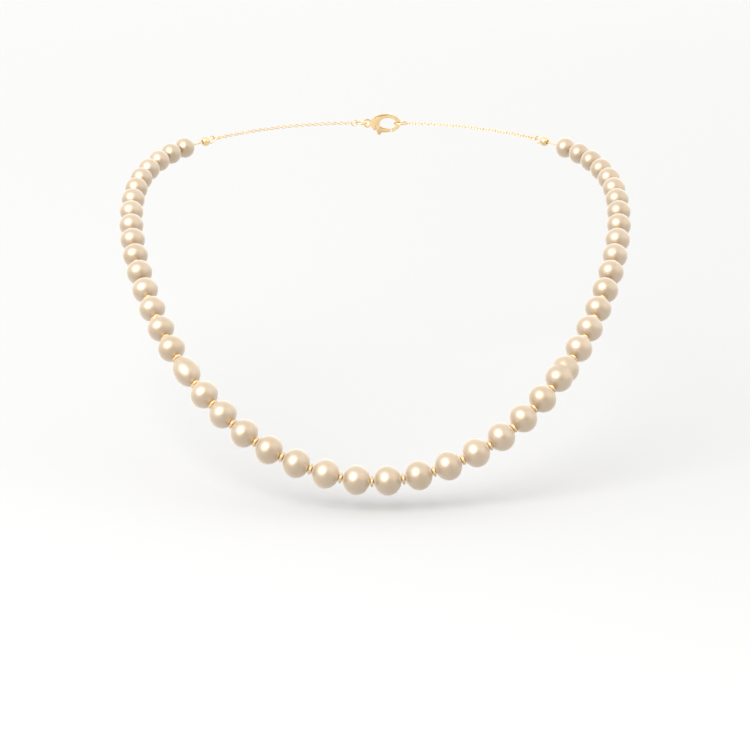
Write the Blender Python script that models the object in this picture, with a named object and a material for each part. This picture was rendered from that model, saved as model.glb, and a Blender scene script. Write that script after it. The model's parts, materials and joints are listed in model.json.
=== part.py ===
"""Graduated pearl necklace, fastened at the nape and lying as it is worn.

Metres, +Z up, the front of the necklace towards -Y. The origin is on the clasp's inner face, which rests on
the nape. Pearls are numbered from the left end of the strand, round the front, to the right end.
"""

import math

import bmesh
import bpy
from mathutils import Matrix, Vector

MM = 0.001

# Route of the left half in millimetres, from the nape round the neck to the front centre. The right half mirrors it.
HALF_ROUTE = [
    (0.0, 0.95, 0.0),
    (-12.0, 0.4, 0.0),
    (-31.0, -4.0, -0.6),
    (-50.0, -15.0, -2.0),
    (-61.3, -27.2, -3.6),
    (-68.2, -42.0, -6.8),
    (-70.3, -58.6, -11.0),
    (-68.9, -79.0, -18.4),
    (-64.0, -98.6, -28.2),
    (-55.6, -116.6, -40.0),
    (-45.9, -128.9, -49.6),
    (-31.0, -139.0, -60.0),
    (0.0, -144.4, -68.6),
]
ROUTE_STEPS = 40  # samples between two route points
LINK_FROM_NAPE = 52.0 * MM  # along the route, nape to the link between chain and bead tip

# Pearls
PEARLS = 48
LARGEST = 8.2 * MM  # diameter across the bore, front centre
SMALLEST = 6.1 * MM  # the same at the strand's ends
GRADUATION = 1.4  # power by which the size falls off towards the ends
FLATTENING = 0.925  # length along the bore over diameter
OVAL_PEARL = 17
OVAL_LENGTH = 1.32  # times a round pearl's length
OVAL_WIDTH = 0.93  # times a round pearl's diameter
TWIN_PEARL = 32
TWIN_LENGTH = 1.55
TWIN_LOBE = 0.667  # lobe radius along the bore over half the pearl's length
BORE_RADIUS = 0.6 * MM
PEARL_SIDES = 10
PEARL_RINGS = 9
TWIN_RINGS = 13

# Thread, with a knot between each two pearls
THREAD_RADIUS = 0.25 * MM
KNOT_RADIUS = 1.1 * MM  # at the front centre
KNOT_HALF_LENGTH = 0.36 * MM
KNOT_GRADUATION = 2.0  # power of the pearls' size by which their knots shorten towards the ends
KNOT_SHOULDER = 0.75  # radius of a knot's end over its middle
KNOT_NECK = 0.07 * MM  # from a knot's end to the plain thread
FOLD_KNOT_RADIUS = 0.5 * MM  # a small knot, where the strand may bend further
THREAD_SIDES = 6
FOLD_AFTER = 12  # the front of the strand lifts about the knot after this many pearls, each side
END_SETBACK = 0.5 * MM  # a back thread stops this far inside its last pearl

# Bead tips, the hollow balls that close over the strand's end knots
TIP_LENGTH = 8.5 * MM  # link to first pearl
TIP_BALL_AT = 3.2 * MM  # link to the ball's centre
TIP_BALL = 1.4 * MM  # radius
TIP_CAVITY = 1.0 * MM
TIP_MOUTH = 0.6 * MM
TIP_SIDES = 12
END_KNOT_RADIUS = 0.6 * MM

# Links and chain
LINK_RADIUS = 1.1 * MM  # centre line of a bead tip's loop and of the link through it
LINK_WIRE = 0.22 * MM
LINK_OFFSET = 0.8 * MM  # each ring's centre from the link point
CHAIN_RADIUS = 0.45 * MM
CHAIN_POINT_GAP = 2.0 * MM
CHAIN_SIDES = 6
RING_SEGMENTS = 14
RING_SIDES = 6

# Clasp, a lobster claw in the XZ plane. Lengths along X are from the nape.
CLASP_THICKNESS = 1.9 * MM
CLASP_MIDDLE = CLASP_THICKNESS / 2
CLAW_CENTRE = 3.2 * MM
CLAW_SIZE = (4.6 * MM, 2.9 * MM)  # half length and half height
MOUTH_CENTRE = 4.0 * MM
MOUTH_SIZE = (2.6 * MM, 1.7 * MM)
GATE_FROM = 1.4 * MM
GATE_TO = 5.05 * MM
GATE_TOP = -0.3 * MM
SLOT_FROM = -0.9 * MM
SLOT_TO = 1.5 * MM
SLOT_TOP = 0.6 * MM
SLOT_WIDTH = 1.2 * MM
CUT_MARGIN = 4.0 * MM  # how far a cutter runs past the claw
PIVOT = (0.0, -1.5 * MM)  # X and Z of the lever's pin
PIVOT_HOLE = 0.4 * MM
PIN_RADIUS = 0.3 * MM
BOSS_RADIUS = 0.7 * MM
LEVER_THICKNESS = 0.8 * MM
LEVER_ROOT = 2.0 * MM  # where the arm's upper edge leaves the slot
LEVER_TIP = 4.7 * MM
LEVER_TAPER = 0.05 * MM  # how much shorter the arm's lower edge is
TAB_END = 2.6 * MM
ARM_STEPS = 4
EYE_CENTRE = -2.35 * MM
EYE_OUTER = 1.35 * MM
EYE_INNER = 0.75 * MM
EYE_THICKNESS = 1.2 * MM
OUTLINE_STEPS = 28

JUMP_RING_CENTRE = -4.35 * MM
JUMP_RING_RADIUS = 1.7 * MM
JUMP_RING_WIRE = 0.25 * MM
LEFT_RING_CENTRE = -6.33 * MM
LEFT_RING_RADIUS = 0.9 * MM
END_RING_CENTRE = 7.9 * MM  # the chain's end ring, which the claw holds
END_RING_RADIUS = 2.0 * MM
END_RING_WIRE = 0.3 * MM
CHAIN_START = 13.0 * MM  # along the route, where the chain joins the curve round the neck

SPRING_AT = 0.85 * MM
SPRING_LOW = -0.68 * MM
SPRING_HIGH = 0.48 * MM
SPRING_RADIUS = 0.36 * MM
SPRING_WIRE = 0.08 * MM
SPRING_TURNS = 5
SPRING_STEPS = 10  # points in one turn

COLOURS = {
    "pearl": ((0.74, 0.62, 0.46, 1.0), 0.18, 0.0),
    "thread": ((0.55, 0.36, 0.16, 1.0), 0.45, 0.0),
    "gold": ((0.83, 0.60, 0.30, 1.0), 0.16, 1.0),
    "spring": ((0.60, 0.60, 0.62, 1.0), 0.25, 1.0),
}

X_AXIS = Vector((1, 0, 0))
Y_AXIS = Vector((0, 1, 0))
Z_AXIS = Vector((0, 0, 1))


# --- scene helpers -------------------------------------------------------------------------------------------


def clear_scene():
    for old in list(bpy.data.objects):
        bpy.data.objects.remove(old, do_unlink=True)


def material(slot):
    """The slot's Principled material, made once."""
    found = bpy.data.materials.get(slot)
    if found:
        return found
    colour, roughness, metallic = COLOURS[slot]
    made = bpy.data.materials.new(slot)
    made.use_nodes = True
    shader = made.node_tree.nodes["Principled BSDF"]
    shader.inputs["Base Color"].default_value = colour
    shader.inputs["Roughness"].default_value = roughness
    shader.inputs["Metallic"].default_value = metallic
    return made


def add_object(name, shape, slot, place=None):
    """An object from a bmesh, shaded smooth with crisp edges kept, at its place in the world."""
    bmesh.ops.recalc_face_normals(shape, faces=shape.faces)
    mesh = bpy.data.meshes.new(name)
    shape.to_mesh(mesh)
    shape.free()
    mesh.shade_smooth()
    mesh.set_sharp_from_angle(angle=math.radians(50))
    mesh.materials.append(material(slot))
    made = bpy.data.objects.new(name, mesh)
    bpy.context.collection.objects.link(made)
    if place:
        made.matrix_world = place
    return made


def combine(target, tool, operation):
    """A Boolean of the target with a tool, which is then only a guide."""
    tool.hide_render = True
    tool.display_type = "WIRE"
    change = target.modifiers.new(tool.name, "BOOLEAN")
    change.operation = operation
    change.solver = "EXACT"
    change.object = tool


def put_on_axis(target, point):
    """Move an object's origin to a point on its joint's axis, leaving its shape where it is."""
    target.data.transform(Matrix.Translation(-point))
    target.location = point


# --- shape builders ------------------------------------------------------------------------------------------


def bridge(shape, lower, upper):
    """Faces between two rings of points; a ring of one point is a pole."""
    sides = max(len(lower), len(upper))
    for k in range(sides):
        after = (k + 1) % sides
        corners = []
        for corner in (
            lower[k % len(lower)],
            lower[after % len(lower)],
            upper[after % len(upper)],
            upper[k % len(upper)],
        ):
            if corner not in corners:
                corners.append(corner)
        shape.faces.new(corners)


def lathe(profile, sides, bored):
    """Turn (height, radius) points about Z. A bored profile closes on itself, any other runs pole to pole."""
    shape = bmesh.new()
    rings = []
    for height, radius in profile:
        count = sides if radius > 0 else 1
        turns = [math.tau * k / sides for k in range(count)]
        rings.append(
            [shape.verts.new((radius * math.cos(a), radius * math.sin(a), height)) for a in turns]
        )
    for lower, upper in zip(rings, rings[1:]):
        bridge(shape, lower, upper)
    if bored:
        bridge(shape, rings[-1], rings[0])
    return shape


def sweep(points, radii, sides, closed=False):
    """A tube through points, whose frame is carried along without twist. An open tube has flat ends."""
    shape = bmesh.new()
    count = len(points)
    rings = []
    side = None
    for k, (point, radius) in enumerate(zip(points, radii)):
        before = points[k - 1] if k or closed else point
        after = points[(k + 1) % count] if k < count - 1 or closed else point
        along = (after - before).normalized()
        if side is None:
            side = along.orthogonal()
        side = (side - along * side.dot(along)).normalized()
        across = along.cross(side)
        turns = [math.tau * j / sides for j in range(sides)]
        rings.append(
            [
                shape.verts.new(point + (side * math.cos(a) + across * math.sin(a)) * radius)
                for a in turns
            ]
        )
    for lower, upper in zip(rings, rings[1:]):
        bridge(shape, lower, upper)
    if closed:
        bridge(shape, rings[-1], rings[0])
    else:
        shape.faces.new(rings[0])
        shape.faces.new(rings[-1])
    return shape


def torus(centre, first, second, radius, wire):
    """A ring of round wire in the plane of two unit directions."""
    points = []
    for k in range(RING_SEGMENTS):
        turn = math.tau * k / RING_SEGMENTS
        points.append(centre + (first * math.cos(turn) + second * math.sin(turn)) * radius)
    return sweep(points, [wire] * RING_SEGMENTS, RING_SIDES, closed=True)


def prism(outline, low, high):
    """An outline of (x, z) points, extruded along Y."""
    shape = bmesh.new()
    near = [shape.verts.new((x, low, z)) for x, z in outline]
    far = [shape.verts.new((x, high, z)) for x, z in outline]
    bridge(shape, near, far)
    shape.faces.new(near)
    shape.faces.new(far)
    return shape


def ellipse(centre, size):
    """Outline of an ellipse, as (x, z) points about (centre, 0)."""
    turns = [math.tau * k / OUTLINE_STEPS for k in range(OUTLINE_STEPS)]
    return [(centre + size[0] * math.cos(a), size[1] * math.sin(a)) for a in turns]


def circle(centre, radius):
    """Outline of a circle, as (x, z) points."""
    turns = [math.tau * k / OUTLINE_STEPS for k in range(OUTLINE_STEPS)]
    return [(centre[0] + radius * math.cos(a), centre[1] + radius * math.sin(a)) for a in turns]


def box(x_range, z_range, low, high):
    """A block between two X values, two Z values and two Y values."""
    corners = [
        (x_range[0], z_range[0]),
        (x_range[1], z_range[0]),
        (x_range[1], z_range[1]),
        (x_range[0], z_range[1]),
    ]
    return prism(corners, low, high)


# --- the route -----------------------------------------------------------------------------------------------


def smooth_loop(knots):
    """Points along a closed smooth curve through knots, by cubic Hermite pieces spaced by chord length."""
    count = len(knots)
    chords = [(knots[(k + 1) % count] - knots[k]).length for k in range(count)]
    slopes = []
    for k in range(count):
        before = (knots[k] - knots[k - 1]) / chords[k - 1]
        after = (knots[(k + 1) % count] - knots[k]) / chords[k]
        weight = chords[k - 1] / (chords[k - 1] + chords[k])
        slopes.append(before * (1 - weight) + after * weight)
    curve = []
    for k in range(count):
        end = (k + 1) % count
        for step in range(ROUTE_STEPS):
            t = step / ROUTE_STEPS
            start_weight = 2 * t**3 - 3 * t**2 + 1
            start_slope = (t**3 - 2 * t**2 + t) * chords[k]
            end_slope = (t**3 - t**2) * chords[k]
            curve.append(
                knots[k] * start_weight
                + knots[end] * (1 - start_weight)
                + slopes[k] * start_slope
                + slopes[end] * end_slope
            )
    return curve


class Route:
    """The necklace's closed curve, read by the distance from the nape, leftwards."""

    def __init__(self):
        left = [Vector(point) * MM for point in HALF_ROUTE]
        right = [Vector((-point.x, point.y, point.z)) for point in left[1:-1]]
        self.points = smooth_loop(left + right[::-1])
        self.points.append(self.points[0])
        self.distances = [0.0]
        for before, after in zip(self.points, self.points[1:]):
            self.distances.append(self.distances[-1] + (after - before).length)
        self.length = self.distances[-1]

    def at(self, distance):
        for k, after in enumerate(self.distances):
            if after >= distance and k:
                before = self.distances[k - 1]
                share = (distance - before) / (after - before)
                return self.points[k - 1].lerp(self.points[k], share)
        return self.points[-1]

    def between(self, start, end, gap):
        """Evenly spaced points from one distance to another."""
        count = max(2, round(abs(end - start) / gap))
        return [self.at(start + (end - start) * k / count) for k in range(count + 1)]


# --- pearls and thread ---------------------------------------------------------------------------------------


def pearl_diameter(number):
    """Diameter of a round pearl across its bore: largest at the front centre."""
    half = (PEARLS - 1) / 2
    from_centre = abs(number - 1 - half) / half
    return LARGEST - (LARGEST - SMALLEST) * from_centre**GRADUATION


def pearl_length(number):
    """Length along the bore."""
    length = pearl_diameter(number) * FLATTENING
    if number == OVAL_PEARL:
        return length * OVAL_LENGTH
    if number == TWIN_PEARL:
        return length * TWIN_LENGTH
    return length


def round_profile(half_length, radius, rings):
    """(height, radius) points of an egg-round pearl, from one mouth of its bore to the other."""
    mouth = math.asin(BORE_RADIUS / radius)
    turns = [mouth + (math.pi - 2 * mouth) * k / (rings - 1) for k in range(rings)]
    return [(-half_length * math.cos(a), radius * math.sin(a)) for a in turns]


def twin_profile(half_length, radius, rings):
    """The same for a twin pearl: two round lobes with a waist."""
    lobe = half_length * TWIN_LOBE
    offset = half_length - lobe
    mouth = lobe * (1 - math.sqrt(1 - (BORE_RADIUS / radius) ** 2))
    reach = half_length - mouth
    profile = []
    for k in range(rings):
        height = -reach * math.cos(math.pi * k / (rings - 1))
        from_lobe = (abs(height) - offset) / lobe
        profile.append((height, radius * math.sqrt(1 - from_lobe**2)))
    return profile


def make_pearl(number, centre, along):
    radius = pearl_diameter(number) / 2
    if number == OVAL_PEARL:
        radius *= OVAL_WIDTH
    half_length = pearl_length(number) / 2
    if number == TWIN_PEARL:
        profile = twin_profile(half_length, radius, TWIN_RINGS)
    else:
        profile = round_profile(half_length, radius, PEARL_RINGS)
    place = Matrix.Translation(centre) @ along.to_track_quat("Z", "Y").to_matrix().to_4x4()
    add_object(f"pearl_{number:02d}", lathe(profile, PEARL_SIDES, bored=True), "pearl", place)


def room_share(number):
    """Room for the knots beside a pearl, over the room beside the largest one."""
    return (pearl_diameter(number) / LARGEST) ** KNOT_GRADUATION


def knot_share(k):
    """Length of the knot after pearl k, over that of the front one."""
    return (room_share(max(k, 1)) + room_share(min(k + 1, PEARLS))) / 2


def lay_strand(route):
    """Knot places along the route: one each side of every pearl, with the spare length shared out between."""
    numbers = range(1, PEARLS + 1)
    start = LINK_FROM_NAPE + TIP_LENGTH
    span = route.length - 2 * start
    spare = span - sum(pearl_length(number) for number in numbers)
    room = spare / sum(room_share(number) for number in numbers)
    places = [start]
    for number in numbers:
        places.append(places[-1] + pearl_length(number) + room * room_share(number))
    return [route.at(place) for place in places]


def knot_rings(centre, along, radius, share):
    """Thread points and radii through one knot."""
    half = KNOT_HALF_LENGTH * share
    offsets = [-half - KNOT_NECK, -half, 0.0, half, half + KNOT_NECK]
    radii = [THREAD_RADIUS, radius * KNOT_SHOULDER, radius, radius * KNOT_SHOULDER, THREAD_RADIUS]
    return [centre + along * offset for offset in offsets], radii


def knot_direction(knots, k):
    """Direction of the thread at knot k, between the pearls either side."""
    before = knots[max(k - 1, 0)]
    after = knots[min(k + 1, len(knots) - 1)]
    return (after - before).normalized()


def make_front_thread(knots):
    """Thread of the front section, from fold knot to fold knot."""
    first = FOLD_AFTER
    last = PEARLS - FOLD_AFTER
    points = []
    radii = []
    for k in range(first, last + 1):
        share = knot_share(k)
        radius = FOLD_KNOT_RADIUS if k in (first, last) else KNOT_RADIUS * math.sqrt(share)
        ahead = knot_direction(knots, k)
        more_points, more_radii = knot_rings(knots[k], ahead, radius, share)
        points += more_points
        radii += more_radii
    thread = add_object("thread_front", sweep(points, radii, THREAD_SIDES), "thread")
    put_on_axis(thread, (knots[first] + knots[last]) / 2)


def make_back_thread(name, knots, order, link):
    """Thread of one back section: end knot in the bead tip, then pearl by pearl to the fold."""
    first = knots[order[0]]
    along = (knots[order[1]] - first).normalized()
    tip = (link - first).normalized()
    ball = link - tip * TIP_BALL_AT
    points = [ball + tip * END_KNOT_RADIUS, ball, ball - tip * END_KNOT_RADIUS, first]
    radii = [THREAD_RADIUS, END_KNOT_RADIUS, THREAD_RADIUS, THREAD_RADIUS]
    for k in order[1:-1]:
        ahead = knot_direction(knots, k)
        if ahead.dot(along) < 0:
            ahead = -ahead
        share = knot_share(k)
        radius = KNOT_RADIUS * math.sqrt(share)
        more_points, more_radii = knot_rings(knots[k], ahead, radius, share)
        points += more_points
        radii += more_radii
        along = ahead
    last = knots[order[-1]]
    inwards = (knots[order[-2]] - last).normalized()
    points.append(last + inwards * (KNOT_HALF_LENGTH + KNOT_NECK + END_SETBACK))
    radii.append(THREAD_RADIUS)
    thread = add_object(name, sweep(points, radii, THREAD_SIDES), "thread")
    put_on_axis(thread, link)


def make_strand(route):
    knots = lay_strand(route)
    for number in range(1, PEARLS + 1):
        before = knots[number - 1]
        after = knots[number]
        make_pearl(number, (before + after) / 2, (after - before).normalized())
    links = [route.at(LINK_FROM_NAPE), route.at(route.length - LINK_FROM_NAPE)]
    left_order = list(range(0, FOLD_AFTER + 1))
    right_order = list(range(PEARLS, PEARLS - FOLD_AFTER - 1, -1))
    make_front_thread(knots)
    make_back_thread("thread_left", knots, left_order, links[0])
    make_back_thread("thread_right", knots, right_order, links[1])
    make_bead_tip("bead_tip_left", links[0], knots[0])
    make_bead_tip("bead_tip_right", links[1], knots[-1])


def make_bead_tip(name, link, first_knot):
    """A hollow ball with a loop, its mouth towards the first pearl."""
    towards = (first_knot - link).normalized()
    wall = math.asin(TIP_MOUTH / TIP_BALL)
    inner = math.asin(TIP_MOUTH / TIP_CAVITY)
    outer_turns = [math.pi - (math.pi - wall) * k / 7 for k in range(8)]
    inner_turns = [inner + (math.pi - inner) * k / 5 for k in range(6)]
    profile = [(TIP_BALL * math.cos(a), TIP_BALL * max(math.sin(a), 0.0)) for a in outer_turns]
    profile += [(TIP_CAVITY * math.cos(a), TIP_CAVITY * math.sin(a)) for a in inner_turns]
    profile[0] = (-TIP_BALL, 0.0)
    profile[-1] = (-TIP_CAVITY, 0.0)
    shape = lathe(profile, TIP_SIDES, bored=False)
    turn = towards.to_track_quat("Z", "Y").to_matrix().to_4x4()
    bmesh.ops.transform(
        shape, matrix=Matrix.Translation(towards * TIP_BALL_AT) @ turn, verts=shape.verts
    )
    ball = add_object(name, shape, "gold", Matrix.Translation(link))
    upright = (Z_AXIS - towards * Z_AXIS.dot(towards)).normalized()
    loop_shape = torus(link + towards * LINK_OFFSET, towards, upright, LINK_RADIUS, LINK_WIRE)
    combine(ball, add_object(name + "_loop", loop_shape, "gold"), "UNION")


# --- chain ---------------------------------------------------------------------------------------------------


def make_chain(name, route, link_place, start_place, start, end_ring):
    """One side's chain, plain along its length, with a ring at each end."""
    link = route.at(link_place)
    ahead = route.at(link_place + (start_place - link_place) * 0.02)
    away = (ahead - link).normalized()
    beside = away.cross(Z_AXIS).normalized()
    link_ring = torus(link + away * LINK_OFFSET, away, beside, LINK_RADIUS, LINK_WIRE)
    first = link + away * (LINK_OFFSET + LINK_RADIUS)
    reach = LINK_OFFSET + LINK_RADIUS + CHAIN_POINT_GAP
    sign = 1 if start_place > link_place else -1
    points = [first] + route.between(link_place + sign * reach, start_place, CHAIN_POINT_GAP)
    points.append(start)
    chain = add_object(name, sweep(points, [CHAIN_RADIUS] * len(points), CHAIN_SIDES), "gold")
    combine(chain, add_object(name + "_link", link_ring, "gold"), "UNION")
    combine(chain, add_object(name + "_ring", end_ring, "gold"), "UNION")


def make_chains(route):
    left_centre = Vector((LEFT_RING_CENTRE, CLASP_MIDDLE, 0))
    left_ring = torus(left_centre, X_AXIS, Z_AXIS, LEFT_RING_RADIUS, LINK_WIRE)
    left_start = left_centre - X_AXIS * LEFT_RING_RADIUS
    make_chain("chain_left", route, LINK_FROM_NAPE, CHAIN_START, left_start, left_ring)
    right_centre = Vector((END_RING_CENTRE, CLASP_MIDDLE, 0))
    right_ring = torus(right_centre, X_AXIS, Y_AXIS, END_RING_RADIUS, END_RING_WIRE)
    right_start = right_centre + X_AXIS * END_RING_RADIUS
    far = route.length
    make_chain(
        "chain_right", route, far - LINK_FROM_NAPE, far - CHAIN_START, right_start, right_ring
    )


# --- clasp ---------------------------------------------------------------------------------------------------


def make_clasp_body():
    claw = add_object("clasp_body", prism(ellipse(CLAW_CENTRE, CLAW_SIZE), 0, CLASP_THICKNESS), "gold")
    past = CUT_MARGIN
    eye_low = CLASP_MIDDLE - EYE_THICKNESS / 2
    eye_high = CLASP_MIDDLE + EYE_THICKNESS / 2
    eye = add_object(
        "eye_blank", prism(circle((EYE_CENTRE, 0), EYE_OUTER), eye_low, eye_high), "gold"
    )
    combine(claw, eye, "UNION")
    slot_low = CLASP_MIDDLE - SLOT_WIDTH / 2
    slot_high = CLASP_MIDDLE + SLOT_WIDTH / 2
    cutters = {
        "eye_hole": prism(circle((EYE_CENTRE, 0), EYE_INNER), -past, past),
        "mouth": prism(ellipse(MOUTH_CENTRE, MOUTH_SIZE), -past, past),
        "gate": box((GATE_FROM, GATE_TO), (-past, GATE_TOP), -past, past),
        "lever_slot": box((SLOT_FROM, SLOT_TO), (-past, SLOT_TOP), slot_low, slot_high),
        "pin_hole": prism(circle(PIVOT, PIVOT_HOLE), -past, past),
    }
    for name, shape in cutters.items():
        combine(claw, add_object(name, shape, "gold"), "DIFFERENCE")


def lever_outline():
    """The lever in the XZ plane: a boss round the pin, a thumb tab and an arm that closes the claw's gate."""
    x, z = PIVOT
    boss = [
        (x + BOSS_RADIUS * math.cos(a), z + BOSS_RADIUS * math.sin(a))
        for a in (math.radians(90 + 180 * k / 8) for k in range(9))
    ]
    tab = [
        (0.5 * MM, -2.5 * MM),
        (0.7 * MM, -3.3 * MM),
        (1.1 * MM, -3.7 * MM),
        (1.7 * MM, -3.6 * MM),
        (2.0 * MM, -2.95 * MM),
    ]
    lower = []
    for k in range(ARM_STEPS + 1):
        along = TAB_END + (LEVER_TIP - LEVER_TAPER - TAB_END) * k / ARM_STEPS
        share = (along - CLAW_CENTRE) / CLAW_SIZE[0]
        lower.append((along, -CLAW_SIZE[1] * math.sqrt(1 - share**2)))
    upper = []
    for k in range(ARM_STEPS + 1):
        along = LEVER_TIP + (LEVER_ROOT - LEVER_TIP) * k / ARM_STEPS
        share = (along - MOUTH_CENTRE) / MOUTH_SIZE[0]
        upper.append((along, -MOUTH_SIZE[1] * math.sqrt(1 - share**2)))
    return boss + tab + lower + upper


def make_lever():
    low = CLASP_MIDDLE - LEVER_THICKNESS / 2
    high = CLASP_MIDDLE + LEVER_THICKNESS / 2
    lever = add_object("clasp_lever", prism(lever_outline(), low, high), "gold")
    hole = add_object(
        "lever_hole", prism(circle(PIVOT, PIVOT_HOLE), -CUT_MARGIN, CUT_MARGIN), "gold"
    )
    combine(lever, hole, "DIFFERENCE")
    put_on_axis(lever, Vector((PIVOT[0], CLASP_MIDDLE, PIVOT[1])))


def make_pin():
    add_object("clasp_pin", prism(circle(PIVOT, PIN_RADIUS), 0, CLASP_THICKNESS), "gold")


def make_spring():
    """A coil spring standing in the slot, between its roof and the lever."""
    points = []
    steps = SPRING_TURNS * SPRING_STEPS
    for k in range(steps + 1):
        turn = math.tau * k / SPRING_STEPS
        points.append(
            Vector(
                (
                    SPRING_AT + SPRING_RADIUS * math.cos(turn),
                    CLASP_MIDDLE + SPRING_RADIUS * math.sin(turn),
                    SPRING_LOW + (SPRING_HIGH - SPRING_LOW) * k / steps,
                )
            )
        )
    add_object("clasp_spring", sweep(points, [SPRING_WIRE] * len(points), 5), "spring")


def make_jump_ring():
    centre = Vector((JUMP_RING_CENTRE, CLASP_MIDDLE, 0))
    ring = torus(centre, X_AXIS, Y_AXIS, JUMP_RING_RADIUS, JUMP_RING_WIRE)
    put_on_axis(add_object("jump_ring", ring, "gold"), centre)


def main():
    clear_scene()
    route = Route()
    make_strand(route)
    make_chains(route)
    make_clasp_body()
    make_lever()
    make_pin()
    make_spring()
    make_jump_ring()


main()
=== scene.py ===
"""Looks of the graduated pearl necklace: lustrous pearls, knotted silk, cable chain and claw clasp."""

import json
import math

import bmesh
import bpy
from mathutils import Matrix, Vector, noise


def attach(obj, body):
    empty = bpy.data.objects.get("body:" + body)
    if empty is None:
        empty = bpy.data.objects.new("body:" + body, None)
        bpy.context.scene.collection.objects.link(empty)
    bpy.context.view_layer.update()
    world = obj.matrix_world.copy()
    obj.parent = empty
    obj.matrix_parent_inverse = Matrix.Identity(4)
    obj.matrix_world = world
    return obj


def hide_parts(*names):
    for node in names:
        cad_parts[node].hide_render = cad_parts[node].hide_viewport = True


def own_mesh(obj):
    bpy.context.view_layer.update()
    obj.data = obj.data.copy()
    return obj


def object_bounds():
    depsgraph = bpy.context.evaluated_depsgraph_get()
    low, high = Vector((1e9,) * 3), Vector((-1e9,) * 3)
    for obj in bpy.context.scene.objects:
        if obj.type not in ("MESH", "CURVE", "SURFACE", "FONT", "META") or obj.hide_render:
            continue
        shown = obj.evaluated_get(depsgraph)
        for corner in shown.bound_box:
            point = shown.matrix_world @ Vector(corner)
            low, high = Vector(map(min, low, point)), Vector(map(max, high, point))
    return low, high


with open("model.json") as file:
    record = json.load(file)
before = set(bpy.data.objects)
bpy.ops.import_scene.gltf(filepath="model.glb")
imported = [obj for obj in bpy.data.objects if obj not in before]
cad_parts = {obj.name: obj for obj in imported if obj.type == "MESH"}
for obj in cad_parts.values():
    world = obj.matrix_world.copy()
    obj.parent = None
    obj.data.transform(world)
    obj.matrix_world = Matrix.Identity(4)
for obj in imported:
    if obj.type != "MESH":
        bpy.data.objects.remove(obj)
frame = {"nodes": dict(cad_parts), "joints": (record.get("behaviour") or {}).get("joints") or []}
cad_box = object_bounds()

MM = 0.001
X_AXIS = Vector((1, 0, 0))
Y_AXIS = Vector((0, 1, 0))
Z_AXIS = Vector((0, 0, 1))

# --- camera ---------------------------------------------------------------------------------------

VIEW_POINT = Vector((0.0, -0.136, -0.041))
VIEW_DISTANCE = 0.9
VIEW_ELEVATION = math.radians(16)
LENS = 160.0  # millimetres on a 36 mm sensor


def make_camera():
    data = bpy.data.cameras.new("camera")
    data.lens = LENS
    data.sensor_width = 36.0
    data.clip_start = 0.01
    camera = bpy.data.objects.new("camera", data)
    bpy.context.collection.objects.link(camera)
    away = Vector((0, -math.cos(VIEW_ELEVATION), math.sin(VIEW_ELEVATION)))
    camera.location = VIEW_POINT + away * VIEW_DISTANCE
    camera.rotation_euler = away.to_track_quat("Z", "Y").to_euler()
    bpy.context.scene.camera = camera


# --- materials ------------------------------------------------------------------------------------


class Nodes:
    """A material's node tree, with its Principled shader, filled in by short calls."""

    def __init__(self, name):
        self.material = bpy.data.materials.new(name)
        self.material.use_nodes = True
        self.tree = self.material.node_tree
        self.shader = self.tree.nodes["Principled BSDF"]
        self.place = self.add("ShaderNodeTexCoord").outputs["Object"]

    def add(self, kind, **settings):
        node = self.tree.nodes.new(kind)
        for key, value in settings.items():
            setattr(node, key, value)
        return node

    def link(self, start, end):
        self.tree.links.new(start, end)

    def noise(self, scale, detail=2.0, roughness=0.5):
        node = self.add("ShaderNodeTexNoise")
        node.inputs["Scale"].default_value = scale
        node.inputs["Detail"].default_value = detail
        node.inputs["Roughness"].default_value = roughness
        self.link(self.place, node.inputs["Vector"])
        return node.outputs["Fac"]

    def ramp(self, source, stops):
        """Colours along a 0 to 1 value; stops are (place, colour)."""
        node = self.add("ShaderNodeValToRGB")
        ramp = node.color_ramp
        while len(ramp.elements) < len(stops):
            ramp.elements.new(0.5)
        for element, (place, colour) in zip(ramp.elements, stops):
            element.position = place
            element.color = (*colour, 1.0)
        self.link(source, node.inputs["Fac"])
        return node.outputs["Color"]

    def spread(self, source, low, high):
        """A noise value mapped from its usual middle range to low and high."""
        node = self.add("ShaderNodeMapRange")
        node.inputs["From Min"].default_value = 0.35
        node.inputs["From Max"].default_value = 0.65
        node.inputs["To Min"].default_value = low
        node.inputs["To Max"].default_value = high
        self.link(source, node.inputs["Value"])
        return node.outputs["Result"]

    def bump(self, source, strength, distance):
        node = self.add("ShaderNodeBump")
        node.inputs["Strength"].default_value = strength
        node.inputs["Distance"].default_value = distance
        self.link(source, node.inputs["Height"])
        self.link(node.outputs["Normal"], self.shader.inputs["Normal"])

    def set(self, **values):
        for key, value in values.items():
            self.shader.inputs[key.replace("_", " ")].default_value = value


def pearl_material(name, light, deep):
    """Nacre: a cream body with faint cloudy bands, under a soft mirror-like skin."""
    nodes = Nodes(name)
    clouds = nodes.noise(260.0, 3.0, 0.55)
    nodes.link(
        nodes.ramp(clouds, [(0.3, deep), (0.7, light)]), nodes.shader.inputs["Base Color"]
    )
    nodes.link(nodes.spread(nodes.noise(500.0, 2.0), 0.40, 0.47), nodes.shader.inputs["Roughness"])
    nodes.bump(nodes.noise(1500.0, 2.0), 0.02, 0.00002)
    nodes.set(Metallic=1.0, Coat_Weight=0.8, Coat_Roughness=0.34, Coat_IOR=1.8)
    nodes.set(Sheen_Weight=0.8, Sheen_Roughness=0.6, Sheen_Tint=(1.0, 0.91, 0.77, 1.0))
    return nodes.material


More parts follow.
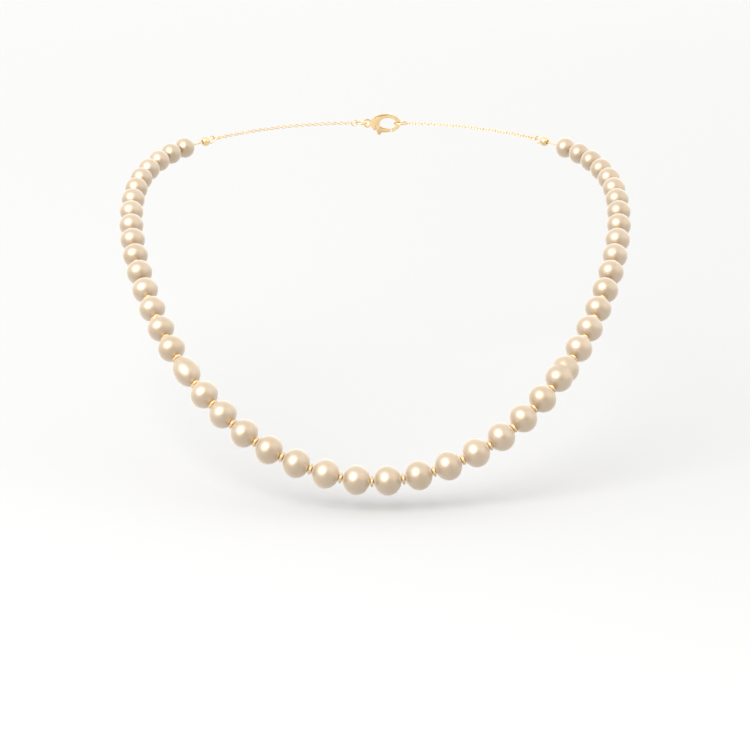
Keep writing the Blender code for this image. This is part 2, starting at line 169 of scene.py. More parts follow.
def silk_material():
    nodes = Nodes("gold_silk")
    fibres = nodes.noise(9000.0, 3.0)
    nodes.link(
        nodes.ramp(fibres, [(0.3, (0.62, 0.40, 0.18)), (0.7, (0.90, 0.68, 0.38))]),
        nodes.shader.inputs["Base Color"],
    )
    nodes.bump(fibres, 0.4, 0.00004)
    nodes.set(Metallic=0.4, Roughness=0.32, Sheen_Weight=0.5, Sheen_Roughness=0.4)
    return nodes.material


def gold_material(name, roughness, tone):
    nodes = Nodes(name)
    deep = tuple(0.88 * value for value in tone)
    nodes.link(
        nodes.ramp(nodes.noise(700.0, 3.0), [(0.35, deep), (0.65, tone)]),
        nodes.shader.inputs["Base Color"],
    )
    nodes.link(
        nodes.spread(nodes.noise(2500.0, 4.0), roughness * 0.8, roughness * 1.3),
        nodes.shader.inputs["Roughness"],
    )
    nodes.bump(nodes.noise(12000.0, 2.0), 0.05, 0.00002)
    nodes.set(Metallic=1.0)
    return nodes.material


def steel_material():
    nodes = Nodes("spring_steel")
    nodes.link(
        nodes.ramp(nodes.noise(3000.0), [(0.3, (0.45, 0.45, 0.47)), (0.7, (0.62, 0.62, 0.64))]),
        nodes.shader.inputs["Base Color"],
    )
    nodes.link(nodes.spread(nodes.noise(6000.0), 0.2, 0.35), nodes.shader.inputs["Roughness"])
    nodes.set(Metallic=1.0)
    return nodes.material


# --- shapes ---------------------------------------------------------------------------------------


def add_piece(name, shape, material, body, replaced, place=None, crisp=None):
    """A smooth object on a body, in place of CAD nodes. Edges past crisp degrees stay sharp."""
    bmesh.ops.recalc_face_normals(shape, faces=shape.faces)
    mesh = bpy.data.meshes.new(name)
    shape.to_mesh(mesh)
    shape.free()
    mesh.shade_smooth()
    if crisp:
        mesh.set_sharp_from_angle(angle=math.radians(crisp))
    mesh.materials.clear()
    mesh.materials.append(material)
    piece = bpy.data.objects.new(name, mesh)
    bpy.context.collection.objects.link(piece)
    if place:
        piece.matrix_world = place
    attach(piece, body)
    if replaced:
        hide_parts(*replaced)
    return piece


def bridge(shape, lower, upper):
    """Faces between two rings of points; a ring of one point is a pole."""
    sides = max(len(lower), len(upper))
    for k in range(sides):
        after = (k + 1) % sides
        corners = []
        for corner in (
            lower[k % len(lower)],
            lower[after % len(lower)],
            upper[after % len(upper)],
            upper[k % len(upper)],
        ):
            if corner not in corners:
                corners.append(corner)
        shape.faces.new(corners)


def lathe(shape, profile, sides, bored):
    """Turn (height, radius) points about Z. A bored profile closes on itself, any other runs pole to pole."""
    rings = []
    for height, radius in profile:
        count = sides if radius > 0 else 1
        turns = [math.tau * k / sides for k in range(count)]
        rings.append(
            [shape.verts.new((radius * math.cos(a), radius * math.sin(a), height)) for a in turns]
        )
    for lower, upper in zip(rings, rings[1:]):
        bridge(shape, lower, upper)
    if bored:
        bridge(shape, rings[-1], rings[0])


def sweep(shape, points, section, sides, closed=False, side=None):
    """A tube through points. section(k, angle) gives the radius at point k."""
    count = len(points)
    rings = []
    for k, point in enumerate(points):
        before = points[k - 1] if k or closed else point
        after = points[(k + 1) % count] if k < count - 1 or closed else point
        along = (after - before).normalized()
        if side is None:
            side = along.orthogonal()
        side = (side - along * side.dot(along)).normalized()
        across = along.cross(side)
        ring = []
        for j in range(sides):
            angle = math.tau * j / sides
            reach = section(k, angle)
            ring.append(
                shape.verts.new(point + (side * math.cos(angle) + across * math.sin(angle)) * reach)
            )
        rings.append(ring)
    for lower, upper in zip(rings, rings[1:]):
        bridge(shape, lower, upper)
    if closed:
        bridge(shape, rings[-1], rings[0])
    else:
        shape.faces.new(rings[0])
        shape.faces.new(rings[-1])


def ring(shape, centre, first, second, half_length, half_width, wire, segments=32, sides=10):
    """A closed loop of round wire, oval where its two half sizes differ."""
    points = []
    straight = half_length - half_width
    for k in range(segments):
        turn = math.tau * k / segments
        end = math.copysign(straight, math.cos(turn)) if straight else 0.0
        points.append(
            centre
            + first * (end + half_width * math.cos(turn))
            + second * half_width * math.sin(turn)
        )
    sweep(shape, points, lambda k, angle: wire, sides, closed=True)


# --- pearls ---------------------------------------------------------------------------------------

PEARL_COUNT = 48
TWIN_PEARL = 32
TWIN_LOBE = 0.667  # lobe radius along the bore over half the pearl's length
BORE_RADIUS = 0.6 * MM
PEARL_SIDES = 56
PEARL_RINGS = 40
TWIN_WAIST = 0.12  # rounding of the waist between the lobes, over the lobe's radius
UNEVENNESS = 0.006  # how far nacre stands off the round, over the radius
SWELL_SCALE = 260.0
SWELL_MIDDLE = 0.4
SWELL_APART = 7.3  # between the noise of one pearl and the next
SMOOTH_WITHIN = 1.5  # no swelling this near the bore, over its radius

# light and deep cream of each pearl tint
PEARL_TINTS = [
    ((0.485, 0.37, 0.25), (0.435, 0.325, 0.215)),
    ((0.505, 0.39, 0.265), (0.455, 0.34, 0.23)),
    ((0.475, 0.36, 0.235), (0.425, 0.315, 0.20)),
    ((0.495, 0.38, 0.265), (0.445, 0.335, 0.225)),
]


def joint_of(body):
    return next(joint for joint in frame["joints"] if joint["child"] == body)


def pearl_size(name, centre, along):
    """Half length between the bore's mouths and radius across it, from the CAD pearl."""
    heights = []
    reaches = []
    for vertex in frame["nodes"][name].data.vertices:
        from_centre = frame["nodes"][name].matrix_world @ vertex.co - centre
        height = from_centre.dot(along)
        heights.append(abs(height))
        reaches.append((from_centre - along * height).length)
    return max(heights), max(reaches)


def pearl_profile(name, mouth_height, radius):
    """(height, radius) points of the pearl's outside, from one mouth of the bore to the other."""
    if name == f"pearl_{TWIN_PEARL:02d}":
        drop = 1 - math.sqrt(1 - (BORE_RADIUS / radius) ** 2)
        half_length = mouth_height / (1 - TWIN_LOBE * drop)
        lobe = half_length * TWIN_LOBE
        offset = half_length - lobe
        profile = []
        for k in range(PEARL_RINGS):
            height = -mouth_height * math.cos(math.pi * k / (PEARL_RINGS - 1))
            share = (math.sqrt(height**2 + (TWIN_WAIST * lobe) ** 2) - offset) / lobe
            profile.append((height, radius * math.sqrt(max(0.0, 1 - share**2))))
        return profile
    mouth = math.asin(BORE_RADIUS / radius)
    half_length = mouth_height / math.cos(mouth)
    turns = [mouth + (math.pi - 2 * mouth) * k / (PEARL_RINGS - 1) for k in range(PEARL_RINGS)]
    return [(-half_length * math.cos(a), radius * math.sin(a)) for a in turns]


def make_pearl(number, material):
    name = f"pearl_{number:02d}"
    joint = joint_of(name)
    centre = Vector(joint["pos_m"])
    along = Vector(joint["axis"]).normalized()
    mouth_height, radius = pearl_size(name, centre, along)
    shape = bmesh.new()
    lathe(shape, pearl_profile(name, mouth_height, radius), PEARL_SIDES, bored=True)
    for vertex in shape.verts:
        reach = vertex.co.xy.length
        if reach < BORE_RADIUS * SMOOTH_WITHIN:
            continue
        swell = noise.noise(vertex.co * SWELL_SCALE + Vector((number * SWELL_APART, 0, 0)))
        vertex.co *= 1 + UNEVENNESS * (swell - SWELL_MIDDLE)
    place = Matrix.Translation(centre) @ along.to_track_quat("Z", "Y").to_matrix().to_4x4()
    add_piece(f"nacre_{number:02d}", shape, material, name, [name], place)


def make_pearls():
    materials = [
        pearl_material(f"nacre_tint_{k}", light, deep)
        for k, (light, deep) in enumerate(PEARL_TINTS)
    ]
    for number in range(1, PEARL_COUNT + 1):
        make_pearl(number, materials[number * 7 % 5 % len(materials)])


# --- the route ------------------------------------------------------------------------------------

# Route of the left half in millimetres, from the nape round the neck to the front centre, as in the CAD.
# The right half mirrors it.
HALF_ROUTE = [
    (0.0, 0.95, 0.0),
    (-12.0, 0.4, 0.0),
    (-31.0, -4.0, -0.6),
    (-50.0, -15.0, -2.0),
    (-61.3, -27.2, -3.6),
    (-68.2, -42.0, -6.8),
    (-70.3, -58.6, -11.0),
    (-68.9, -79.0, -18.4),
    (-64.0, -98.6, -28.2),
    (-55.6, -116.6, -40.0),
    (-45.9, -128.9, -49.6),
    (-31.0, -139.0, -60.0),
    (0.0, -144.4, -68.6),
]
ROUTE_STEPS = 40  # samples between two route points
LINK_FROM_NAPE = 52.0 * MM  # along the route, nape to the link between chain and bead tip


def smooth_loop(knots):
    """Points along a closed smooth curve through knots, by cubic Hermite pieces spaced by chord length."""
    count = len(knots)
    chords = [(knots[(k + 1) % count] - knots[k]).length for k in range(count)]
    slopes = []
    for k in range(count):
        before = (knots[k] - knots[k - 1]) / chords[k - 1]
        after = (knots[(k + 1) % count] - knots[k]) / chords[k]
        weight = chords[k - 1] / (chords[k - 1] + chords[k])
        slopes.append(before * (1 - weight) + after * weight)
    curve = []
    for k in range(count):
        end = (k + 1) % count
        for step in range(ROUTE_STEPS):
            t = step / ROUTE_STEPS
            start_weight = 2 * t**3 - 3 * t**2 + 1
            start_slope = (t**3 - 2 * t**2 + t) * chords[k]
            end_slope = (t**3 - t**2) * chords[k]
            curve.append(
                knots[k] * start_weight
                + knots[end] * (1 - start_weight)
                + slopes[k] * start_slope
                + slopes[end] * end_slope
            )
    return curve


class Path:
    """A line through points, read by the distance along it."""

    def __init__(self, points):
        self.points = points
        self.distances = [0.0]
        for before, after in zip(self.points, self.points[1:]):
            self.distances.append(self.distances[-1] + (after - before).length)
        self.length = self.distances[-1]

    def at(self, distance):
        for k, after in enumerate(self.distances):
            if after >= distance and k:
                before = self.distances[k - 1]
                share = (distance - before) / max(after - before, 1e-9)
                return self.points[k - 1].lerp(self.points[k], share)
        return self.points[-1]


def make_route():
    left = [Vector(point) * MM for point in HALF_ROUTE]
    right = [Vector((-point.x, point.y, point.z)) for point in left[1:-1]]
    loop = smooth_loop(left + right[::-1])
    return Path(loop + [loop[0]])


# --- thread ---------------------------------------------------------------------------------------

FOLD_AFTER = 12  # the front of the strand lifts about the knot after this many pearls, each side
THREAD_RADIUS = 0.25 * MM
THREAD_SIDES = 24
PLIES = 3
PLY_DEPTH = 0.10  # depth of the grooves between plies, over the radius
PLY_TWIST = 2600.0  # radians of twist in a metre
PLY_STEP = 0.12 * MM
FULL_ROOM = 0.907 * MM  # between the two front pearls, where the knots are largest
KNOT_RADIUS = 1.3 * MM
KNOT_FILL = 0.46  # half length of a knot over the room it sits in
FOLD_KNOT_RADIUS = 0.6 * MM  # smaller and shorter, to turn between its pearls
FOLD_KNOT_FILL = 0.38
KNOT_STEPS = 14
KNOT_SQUARENESS = 5  # power that keeps a knot full towards its ends
KNOT_CLEAR = 1.1  # plain thread ends this far from a knot's centre, over its half length
KNOT_LEAN = 1.1  # how far the windings lean, in radians
THREAD_END = 0.93  # where a back thread stops in its last pearl, over the bore
KNOT_FOLDS = 4
KNOT_RIDGE = 0.13
END_KNOT_RADIUS = 0.6 * MM
TIP_BALL_AT = 3.2 * MM  # from the link to the centre of the bead tip's ball


class Strand:
    """Where the pearls sit, and the knot between each two, from the CAD joints and pearls."""

    def __init__(self, route):
        self.links = {
            "left": route.at(LINK_FROM_NAPE),
            "right": route.at(route.length - LINK_FROM_NAPE),
        }
        self.mouths = []
        for number in range(1, PEARL_COUNT + 1):
            name = f"pearl_{number:02d}"
            joint = joint_of(name)
            centre = Vector(joint["pos_m"])
            along = Vector(joint["axis"]).normalized()
            reach = pearl_size(name, centre, along)[0]
            self.mouths.append((centre - along * reach, centre + along * reach))
        self.outer = {"left": self.mouths[0][0], "right": self.mouths[-1][1]}

    def knot(self, after):
        """Centre and direction of the knot after a pearl, and the room between its pearls."""
        before = self.mouths[after - 1]
        behind = self.mouths[after]
        centre = (before[1] + behind[0]) / 2
        room = (before[1] - behind[0]).length
        return centre, (behind[1] - before[0]).normalized(), room

    def ball(self, side):
        """Centre of a bead tip's ball and the direction from it to the link."""
        tip = (self.links[side] - self.outer[side]).normalized()
        return self.links[side] - tip * TIP_BALL_AT, tip


def knot_points(centre, along, radius, half_length):
    """Points through a knot, each with its radius, how much it is knot rather than thread, and its share."""
    points = []
    for k in range(KNOT_STEPS + 1):
        share = -1 + 2 * k / KNOT_STEPS
        bulge = max(0.0, 1 - abs(share) ** KNOT_SQUARENESS) ** 0.5
        reach = THREAD_RADIUS + (radius - THREAD_RADIUS) * bulge
        points.append((centre + along * (share * half_length), reach, bulge, share))
    return points


def plain_run(start, end):
    steps = max(6, round((end - start).length / PLY_STEP))
    return [(start.lerp(end, k / steps), THREAD_RADIUS, 0.0, 0.0) for k in range(steps + 1)]


def lay_thread(name, node, body, stations, material):
    """One stretch of silk, twisted between the knots, whose strands wind over each knot."""
    points = [station[0] for station in stations]
    lengths = Path(points).distances

    def section(k, angle):
        radius, bulge, share = stations[k][1:]
        ply = PLY_DEPTH * (1 - bulge) * math.cos(PLIES * angle + PLY_TWIST * lengths[k])
        winding = KNOT_RIDGE * bulge * math.cos(KNOT_FOLDS * (angle + KNOT_LEAN * share))
        return radius * (1 + ply + winding)

    shape = bmesh.new()
    sweep(shape, points, section, THREAD_SIDES)
    add_piece(name, shape, material, body, [node])


def knot_radius(room):
    return KNOT_RADIUS * math.sqrt(room / FULL_ROOM)


def make_threads(strand, material):
    first = FOLD_AFTER
    last = PEARL_COUNT - FOLD_AFTER
    stations = []
    for after in range(first, last + 1):
        centre, along, room = strand.knot(after)
        folds = after in (first, last)
        half = room * (FOLD_KNOT_FILL if folds else KNOT_FILL)
        radius = FOLD_KNOT_RADIUS if folds else knot_radius(room)
        if stations:
            stations += plain_run(stations[-1][0], centre - along * half * KNOT_CLEAR)[1:]
        stations += knot_points(centre, along, radius, half)
    lay_thread("silk_front", "thread_front", "strand_front", stations, material)
    make_back_thread("left", strand, list(range(1, FOLD_AFTER)), material)
    make_back_thread("right", strand, list(range(PEARL_COUNT - 1, last, -1)), material)


def make_back_thread(side, strand, order, material):
    """End knot in the bead tip, then knot by knot to just inside the pearl before the fold."""
    ball, tip = strand.ball(side)
    stations = knot_points(ball, -tip, END_KNOT_RADIUS, END_KNOT_RADIUS)
    stations += plain_run(stations[-1][0], strand.outer[side])[1:]
    for after in order:
        centre, along, room = strand.knot(after)
        half = room * KNOT_FILL
        if side == "right":
            along = -along
        stations += plain_run(stations[-1][0], centre - along * half * KNOT_CLEAR)[1:]
        stations += knot_points(centre, along, knot_radius(room), half)
    number = FOLD_AFTER if side == "left" else PEARL_COUNT + 1 - FOLD_AFTER
    near, far = strand.mouths[number - 1]
    if side == "right":
        near, far = far, near
    stations += plain_run(stations[-1][0], near.lerp(far, THREAD_END))[1:]
    lay_thread(f"silk_{side}", f"thread_{side}", "strand_back", stations, material)


# --- bead tips and chain --------------------------------------------------------------------------

TIP_BALL = 1.4 * MM
TIP_CAVITY = 1.0 * MM
TIP_MOUTH = 0.6 * MM
TIP_SIDES = 48
SEAM_DEPTH = 0.05 * MM
SEAM_HALF_WIDTH = 0.09 * MM
LINK_RADIUS = 1.1 * MM  # a bead tip's loop and the ring through it
LINK_WIRE = 0.17 * MM  # thinner than the CAD's, whose rings meet at the strand's full swing
LINK_SEGMENTS = 40
END_RING_SEGMENTS = 56
SHELL_STEPS = (30, 12)  # points on a bead tip's outside and inside
LINK_OFFSET = 0.8 * MM
CHAIN_LINK_HALF = 0.615 * MM  # half length and half width of a chain link, along its wire's middle
CHAIN_LINK_SIDE = 0.385 * MM
CHAIN_WIRE = 0.115 * MM
CHAIN_START = 13.0 * MM  # along the route, where the chain joins the curve round the neck
CHAIN_STEPS = 40
CHAIN_CLEAR = 2.0 * MM  # of the ring at the bead tip, where the chain meets the route
CHAIN_AIM = 0.02  # share of the chain's run that sets its direction at the tip
CHAIN_REACH = 0.3 * MM  # each side of a link, for its direction

CLASP_MIDDLE = 0.95 * MM
LEFT_RING_CENTRE = -6.33 * MM
LEFT_RING_RADIUS = 0.9 * MM
END_RING_CENTRE = 7.9 * MM
END_RING_RADIUS = 2.0 * MM
END_RING_WIRE = 0.3 * MM


def make_bead_tip(side, strand, material):
    """Two cups closed over the end knot, with a seam between them, and the loop that hooks into the link."""
    ball, tip = strand.ball(side)
    towards = -tip
    wall = math.asin(TIP_MOUTH / TIP_BALL)
    inner = math.asin(TIP_MOUTH / TIP_CAVITY)
    outer_turns = [math.pi - (math.pi - wall) * k / SHELL_STEPS[0] for k in range(SHELL_STEPS[0] + 1)]
    inner_turns = [inner + (math.pi - inner) * k / SHELL_STEPS[1] for k in range(SHELL_STEPS[1] + 1)]
    profile = [(TIP_BALL * math.cos(a), TIP_BALL * max(math.sin(a), 0.0)) for a in outer_turns]
    profile += [(TIP_CAVITY * math.cos(a), TIP_CAVITY * math.sin(a)) for a in inner_turns]
    profile[0] = (-TIP_BALL, 0.0)
    profile[-1] = (-TIP_CAVITY, 0.0)
    shape = bmesh.new()
    lathe(shape, profile, TIP_SIDES, bored=False)
    for vertex in shape.verts:
        if vertex.co.length > (TIP_BALL + TIP_CAVITY) / 2:
            depth = SEAM_DEPTH * math.exp(-((vertex.co.x / SEAM_HALF_WIDTH) ** 2))
            vertex.co *= 1 - depth / TIP_BALL
    turn = towards.to_track_quat("Z", "Y").to_matrix().to_4x4()
    bmesh.ops.transform(shape, matrix=Matrix.Translation(ball) @ turn, verts=shape.verts)
    link = strand.links[side]
    upright = (Z_AXIS - towards * Z_AXIS.dot(towards)).normalized()
    centre = link + towards * LINK_OFFSET
    ring(shape, centre, towards, upright, LINK_RADIUS, LINK_RADIUS, LINK_WIRE, LINK_SEGMENTS)
    add_piece(f"clam_tip_{side}", shape, material, "strand_back", [f"bead_tip_{side}"])


def chain_path(side, route, strand, start):
    """The chain's line from the bead tip's ring to the clasp's, and its direction at the tip."""
    sign = 1 if side == "left" else -1
    link = strand.links[side]
    link_place = LINK_FROM_NAPE if side == "left" else route.length - LINK_FROM_NAPE
    start_place = CHAIN_START if side == "left" else route.length - CHAIN_START
    away = (route.at(link_place + (start_place - link_place) * CHAIN_AIM) - link).normalized()
    points = [link + away * (LINK_OFFSET + LINK_RADIUS)]
    clear = LINK_OFFSET + LINK_RADIUS + CHAIN_CLEAR
    for k in range(CHAIN_STEPS + 1):
        place = LINK_FROM_NAPE - clear + (CHAIN_START - LINK_FROM_NAPE + clear) * k / CHAIN_STEPS
        points.append(route.at(place if sign > 0 else route.length - place))
    points.append(start)
    return Path(points), away


def make_chain(side, route, strand, start, end_ring, material):
    """A cable chain, each link turned across the one before, with a ring at each end."""
    path, away = chain_path(side, route, strand, start)
    shape = bmesh.new()
    beside = away.cross(Z_AXIS).normalized()
    centre = strand.links[side] + away * LINK_OFFSET
    ring(shape, centre, away, beside, LINK_RADIUS, LINK_RADIUS, LINK_WIRE, LINK_SEGMENTS)
    end_centre, first, second, radius, wire = end_ring
    ring(shape, end_centre, first, second, radius, radius, wire, END_RING_SEGMENTS)
    begin = CHAIN_LINK_HALF - LINK_WIRE - CHAIN_WIRE
    finish = path.length - (CHAIN_LINK_HALF - wire - CHAIN_WIRE)
    count = math.ceil((finish - begin) / (2 * (CHAIN_LINK_HALF - CHAIN_WIRE)))
    if count % 2 == 0:
        count += 1
    for k in range(count + 1):
        place = begin + (finish - begin) * k / count
        middle = path.at(place)
        along = (path.at(place + CHAIN_REACH) - path.at(place - CHAIN_REACH)).normalized()
        if place > path.length - CHAIN_REACH:
            along = (path.at(path.length) - path.at(place - CHAIN_REACH)).normalized()
        if place < CHAIN_REACH:
            along = (path.at(place + CHAIN_REACH) - path.at(0.0)).normalized()
        level = along.cross(Z_AXIS).normalized()
        upright = level.cross(along)
        across = upright if k % 2 == 0 else level
        ring(shape, middle, along, across, CHAIN_LINK_HALF, CHAIN_LINK_SIDE, CHAIN_WIRE, 18, 8)
    add_piece(f"links_{side}", shape, material, "back_chain", [f"chain_{side}"])


def make_chains(route, strand, material):
    left_centre = Vector((LEFT_RING_CENTRE, CLASP_MIDDLE, 0))
    left_ring = (left_centre, X_AXIS, Z_AXIS, LEFT_RING_RADIUS, LINK_WIRE)
    start = left_centre - X_AXIS * LEFT_RING_RADIUS
    make_chain("left", route, strand, start, left_ring, material)
    right_centre = Vector((END_RING_CENTRE, CLASP_MIDDLE, 0))
    right_ring = (right_centre, X_AXIS, Y_AXIS, END_RING_RADIUS, END_RING_WIRE)
    start = right_centre + X_AXIS * END_RING_RADIUS
    make_chain("right", route, strand, start, right_ring, material)


# --- clasp ----------------------------------------------------------------------------------------

CLASP_THICKNESS = 1.9 * MM
CLAW_CENTRE = 3.2 * MM
CLAW_SIZE = (4.6 * MM, 2.9 * MM)
MOUTH_CENTRE = 4.0 * MM
MOUTH_SIZE = (2.6 * MM, 1.7 * MM)
GATE = ((1.4 * MM, 5.05 * MM), -0.3 * MM)
SLOT = ((-0.9 * MM, 1.5 * MM), 0.6 * MM)
SLOT_WIDTH = 1.2 * MM
CUT_MARGIN = 4.0 * MM
ROUNDED_FROM = math.radians(40)  # edges that turn less stay unrounded
PIVOT = (0.0, -1.5 * MM)
PIVOT_HOLE = 0.4 * MM
PIN_RADIUS = 0.3 * MM
PIN_HEAD = 0.06 * MM
BOSS_RADIUS = 0.7 * MM
LEVER_THICKNESS = 0.8 * MM
LEVER_ROOT = 2.0 * MM
LEVER_TIP = 4.7 * MM
TAB_END = 2.6 * MM
EYE_CENTRE = -2.35 * MM
EYE_OUTER = 1.35 * MM
EYE_INNER = 0.75 * MM
EYE_THICKNESS = 1.2 * MM
OUTLINE_STEPS = 88
CLASP_ROUNDING = 0.28 * MM
LEVER_ROUNDING = 0.12 * MM

JUMP_RING_CENTRE = -4.35 * MM
JUMP_RING_RADIUS = 1.7 * MM
JUMP_RING_WIRE = 0.25 * MM
RING_JOINT = math.radians(1.6)  # half the gap where the jump ring's ends meet
RING_JOINT_AT = 1.9  # its turn round the ring, in radians
RING_STEPS = 64

SPRING_AT = 0.85 * MM
SPRING_LOW = -0.68 * MM
SPRING_HIGH = 0.48 * MM
SPRING_RADIUS = 0.36 * MM
SPRING_WIRE = 0.08 * MM
SPRING_TURNS = 5
SPRING_STEPS = 32  # points in one turn


def prism(outline, low, high):
    """An outline of (x, z) points, extruded along Y."""
    shape = bmesh.new()
    near = [shape.verts.new((x, low, z)) for x, z in outline]
    far = [shape.verts.new((x, high, z)) for x, z in outline]
    bridge(shape, near, far)
    shape.faces.new(near)
    shape.faces.new(far)
    return shape


def ellipse(centre, size):
    turns = [math.tau * k / OUTLINE_STEPS for k in range(OUTLINE_STEPS)]
    return [(centre + size[0] * math.cos(a), size[1] * math.sin(a)) for a in turns]


def circle(centre, radius):
    turns = [math.tau * k / OUTLINE_STEPS for k in range(OUTLINE_STEPS)]
    return [(centre[0] + radius * math.cos(a), centre[1] + radius * math.sin(a)) for a in turns]


def block(x_range, z_range, low, high):
    corners = [
        (x_range[0], z_range[0]),
        (x_range[1], z_range[0]),
        (x_range[1], z_range[1]),
        (x_range[0], z_range[1]),
    ]
    return prism(corners, low, high)


def carve(name, blank, tools, rounding, segments):
    """A bmesh of a blank joined with and cut by tools, its edges rounded. Tools are (operation, shape)."""
    guides = []
    for k, shape in enumerate([blank] + [tool for operation, tool in tools]):
        bmesh.ops.recalc_face_normals(shape, faces=shape.faces)
        mesh = bpy.data.meshes.new(f"{name}_guide_{k}")
        shape.to_mesh(mesh)
        shape.free()
        guide = bpy.data.objects.new(mesh.name, mesh)
        bpy.context.collection.objects.link(guide)
        guides.append(guide)
    whole = guides[0]
    for guide, (operation, tool) in zip(guides[1:], tools):
        change = whole.modifiers.new(guide.name, "BOOLEAN")
        change.operation = operation
        change.solver = "EXACT"
        change.object = guide
    bevel = whole.modifiers.new("rounding", "BEVEL")
    bevel.width = rounding
    bevel.segments = segments
    bevel.limit_method = "ANGLE"
    bevel.angle_limit = ROUNDED_FROM
    bpy.context.view_layer.update()
    shape = bmesh.new()
    shape.from_object(whole, bpy.context.evaluated_depsgraph_get())
    for guide in guides:
        bpy.data.meshes.remove(guide.data)
    return shape


def make_clasp_body(material):
    eye_low = CLASP_MIDDLE - EYE_THICKNESS / 2
    eye_high = CLASP_MIDDLE + EYE_THICKNESS / 2
    slot_low = CLASP_MIDDLE - SLOT_WIDTH / 2
    slot_high = CLASP_MIDDLE + SLOT_WIDTH / 2
    past = CUT_MARGIN
    tools = [
        ("UNION", prism(circle((EYE_CENTRE, 0), EYE_OUTER), eye_low, eye_high)),
        ("DIFFERENCE", prism(circle((EYE_CENTRE, 0), EYE_INNER), -past, past)),
        ("DIFFERENCE", prism(ellipse(MOUTH_CENTRE, MOUTH_SIZE), -past, past)),
        ("DIFFERENCE", block(GATE[0], (-past, GATE[1]), -past, past)),
        ("DIFFERENCE", block(SLOT[0], (-past, SLOT[1]), slot_low, slot_high)),
        ("DIFFERENCE", prism(circle(PIVOT, PIVOT_HOLE), -past, past)),
    ]
    blank = prism(ellipse(CLAW_CENTRE, CLAW_SIZE), 0, CLASP_THICKNESS)
    shape = carve("claw", blank, tools, CLASP_ROUNDING, 4)
    add_piece("claw", shape, material, "back_chain", ["clasp_body"], crisp=35)


def lever_outline():
    """A boss round the pin, a thumb tab and an arm that closes the claw's gate."""
    x, z = PIVOT
    outline = []
    for k in range(25):
        turn = math.radians(90 + 180 * k / 24)
        outline.append((x + BOSS_RADIUS * math.cos(turn), z + BOSS_RADIUS * math.sin(turn)))
    for x, z in ((0.5, -2.5), (0.7, -3.3), (1.1, -3.7), (1.7, -3.6), (2.0, -2.95)):
        outline.append((x * MM, z * MM))
    for k in range(13):
        along = TAB_END + (LEVER_TIP - 0.05 * MM - TAB_END) * k / 12
        share = (along - CLAW_CENTRE) / CLAW_SIZE[0]
        outline.append((along, -CLAW_SIZE[1] * math.sqrt(1 - share**2)))
    for k in range(13):
        along = LEVER_TIP + (LEVER_ROOT - LEVER_TIP) * k / 12
        share = (along - MOUTH_CENTRE) / MOUTH_SIZE[0]
        outline.append((along, -MOUTH_SIZE[1] * math.sqrt(1 - share**2)))
    return outline


def make_lever(material):
    low = CLASP_MIDDLE - LEVER_THICKNESS / 2
    high = CLASP_MIDDLE + LEVER_THICKNESS / 2
    tools = [("DIFFERENCE", prism(circle(PIVOT, PIVOT_HOLE), -CUT_MARGIN, CUT_MARGIN))]
    shape = carve("trigger", prism(lever_outline(), low, high), tools, LEVER_ROUNDING, 3)
    add_piece("trigger", shape, material, "clasp_lever", ["clasp_lever"], crisp=35)


def make_pin(material):
    """A pin whose ends are domed just proud of the claw's faces."""
    shape = bmesh.new()
    profile = [(-PIN_HEAD, 0.0)]
    for k in range(1, 7):
        turn = math.pi / 2 * k / 6
        profile.append((-PIN_HEAD * math.cos(turn), PIN_RADIUS * math.sin(turn)))
    profile += [(CLASP_THICKNESS - height, radius) for height, radius in profile[::-1]]
    lathe(shape, profile, 32, bored=False)
    turn = Matrix.Rotation(-math.pi / 2, 4, "X")
    place = Matrix.Translation((PIVOT[0], 0, PIVOT[1])) @ turn
    add_piece("rivet", shape, material, "back_chain", ["clasp_pin"], place)


def make_spring(material):
    """A coil of wire from the lever up to the slot's roof, given a mesh of its own."""
    points = []
    steps = SPRING_TURNS * SPRING_STEPS
    for k in range(steps + 1):
        turn = math.tau * k / SPRING_STEPS
        height = SPRING_LOW + (SPRING_HIGH - SPRING_LOW) * k / steps
        across = Vector((SPRING_RADIUS * math.cos(turn), SPRING_RADIUS * math.sin(turn), 0))
        points.append(Vector((SPRING_AT, CLASP_MIDDLE, height)) + across)
    shape = bmesh.new()
    sweep(shape, points, lambda k, angle: SPRING_WIRE, 8)
    coil = add_piece("coil", shape, material, "back_chain", ["clasp_spring"])
    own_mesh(coil)


def make_jump_ring(material):
    """Round wire bent to a ring, its two ends meeting at a fine joint."""
    points = []
    for k in range(RING_STEPS + 1):
        turn = RING_JOINT + (math.tau - 2 * RING_JOINT) * k / RING_STEPS + RING_JOINT_AT
        across = Vector((math.cos(turn), math.sin(turn), 0)) * JUMP_RING_RADIUS
        points.append(Vector((JUMP_RING_CENTRE, CLASP_MIDDLE, 0)) + across)
    shape = bmesh.new()
    sweep(shape, points, lambda k, angle: JUMP_RING_WIRE, 14)
    add_piece("split_ring", shape, material, "jump_ring", ["jump_ring"], crisp=60)


# --- stage ----------------------------------------------------------------------------------------

FLOOR_DROP = 0.005  # below the lowest pearl
FLOOR_SIZE = 6.0
FLOOR_PAINTED_SHADE_NEAR = (-0.1, 0.49)  # place along Y and painted tone, in front and behind: painted light falloff, the floor darker in front and brighter behind
FLOOR_PAINTED_LIGHT_FAR = (0.7, 0.64)

SKY_DIM = (0.62, 0.59, 0.56)
SKY_BRIGHT = (1.35, 1.35, 1.34)
SKY_BRIGHT_WAY = (0.0, 1.0, 0.5)
SKY_BLEND = (-1.1, 0.3)

MIDDLE = Vector((0, -0.08, -0.04))  # of the necklace

# name, place from the middle, diameter and power
LIGHTS = [
    ("key", (-0.545, -0.77, 0.74), 1.15, 17.0),
    ("fill", (0.79, -0.53, 0.52), 1.1, 1.3),
]


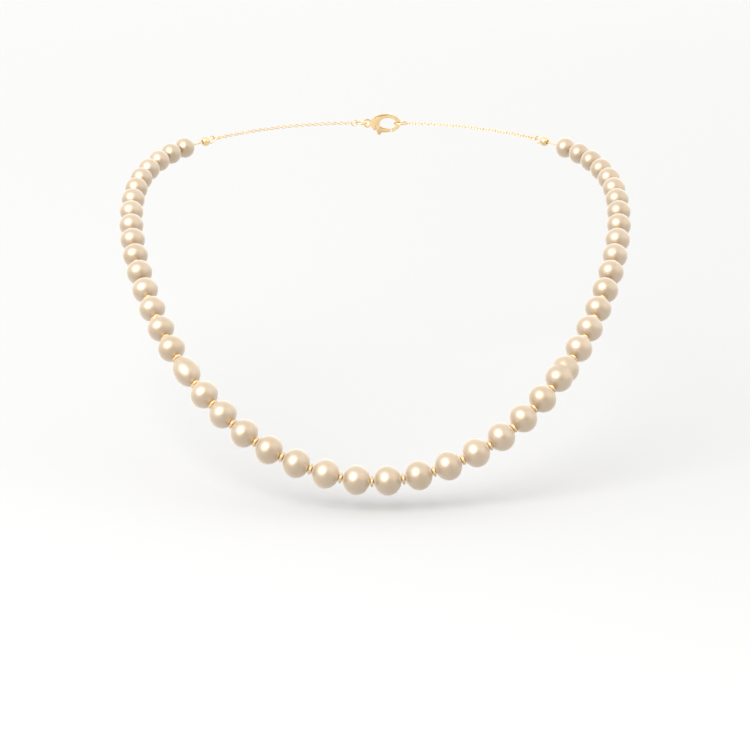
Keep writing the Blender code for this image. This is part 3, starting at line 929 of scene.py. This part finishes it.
def make_floor():
    low = cad_box[0][2] - FLOOR_DROP
    bpy.ops.mesh.primitive_plane_add(size=FLOOR_SIZE, location=(0, 0, low))
    floor = bpy.context.object
    floor.name = "floor"
    nodes = Nodes("floor_painted_light_falloff")
    # Painted light: the floor's tone is ramped along Y, darker in front and brighter further back, as if more
    # light falls on the far floor.
    apart = nodes.add("ShaderNodeSeparateXYZ")
    nodes.link(nodes.place, apart.inputs["Vector"])
    depth = nodes.add("ShaderNodeMapRange")
    depth.inputs["From Min"].default_value = FLOOR_PAINTED_SHADE_NEAR[0]
    depth.inputs["From Max"].default_value = FLOOR_PAINTED_LIGHT_FAR[0]
    nodes.link(apart.outputs["Y"], depth.inputs["Value"])
    stops = [(0.0, (FLOOR_PAINTED_SHADE_NEAR[1],) * 3), (1.0, (FLOOR_PAINTED_LIGHT_FAR[1],) * 3)]
    nodes.link(nodes.ramp(depth.outputs["Result"], stops), nodes.shader.inputs["Base Color"])
    nodes.set(Roughness=0.8)
    floor.data.materials.append(nodes.material)


def area_light(name, place, target, size, power):
    data = bpy.data.lights.new(name, "AREA")
    data.shape = "DISK"
    data.size = size
    data.energy = power
    light = bpy.data.objects.new(name, data)
    bpy.context.collection.objects.link(light)
    light.location = place
    light.rotation_euler = (Vector(place) - Vector(target)).to_track_quat("Z", "Y").to_euler()


def make_sky():
    """Bright all round, and dimmer behind whoever looks at the front of the necklace."""
    world = bpy.data.worlds.new("studio")
    world.use_nodes = True
    tree = world.node_tree
    direction = tree.nodes.new("ShaderNodeTexCoord")
    facing = tree.nodes.new("ShaderNodeVectorMath")
    facing.operation = "DOT_PRODUCT"
    facing.inputs[1].default_value = SKY_BRIGHT_WAY
    tree.links.new(direction.outputs["Generated"], facing.inputs[0])
    blend = tree.nodes.new("ShaderNodeMapRange")
    blend.interpolation_type = "SMOOTHSTEP"
    blend.inputs["From Min"].default_value = SKY_BLEND[0]
    blend.inputs["From Max"].default_value = SKY_BLEND[1]
    tree.links.new(facing.outputs["Value"], blend.inputs["Value"])
    tint = tree.nodes.new("ShaderNodeMix")
    tint.data_type = "RGBA"
    tree.links.new(blend.outputs["Result"], tint.inputs["Factor"])
    for socket in tint.inputs:
        if socket.type == "RGBA" and socket.name == "A":
            socket.default_value = (*SKY_DIM, 1.0)
        if socket.type == "RGBA" and socket.name == "B":
            socket.default_value = (*SKY_BRIGHT, 1.0)
    result = next(socket for socket in tint.outputs if socket.type == "RGBA")
    tree.links.new(result, tree.nodes["Background"].inputs["Color"])
    tree.nodes["Background"].inputs["Strength"].default_value = 1.0
    bpy.context.scene.world = world


def make_lights():
    make_sky()
    for name, way, size, power in LIGHTS:
        area_light(name, MIDDLE + Vector(way), MIDDLE, size, power)


route = make_route()
strand = Strand(route)
gold = gold_material("polished_gold", 0.13, (0.90, 0.66, 0.36))
bpy.context.scene.view_settings.view_transform = "Standard"
make_camera()
make_pearls()
make_threads(strand, silk_material())
make_bead_tip("left", strand, gold)
make_bead_tip("right", strand, gold)
make_chains(route, strand, gold_material("chain_gold", 0.2, (0.86, 0.63, 0.35)))
make_clasp_body(gold)
make_lever(gold)
make_pin(gold)
make_spring(steel_material())
make_jump_ring(gold)
make_floor()
make_lights()
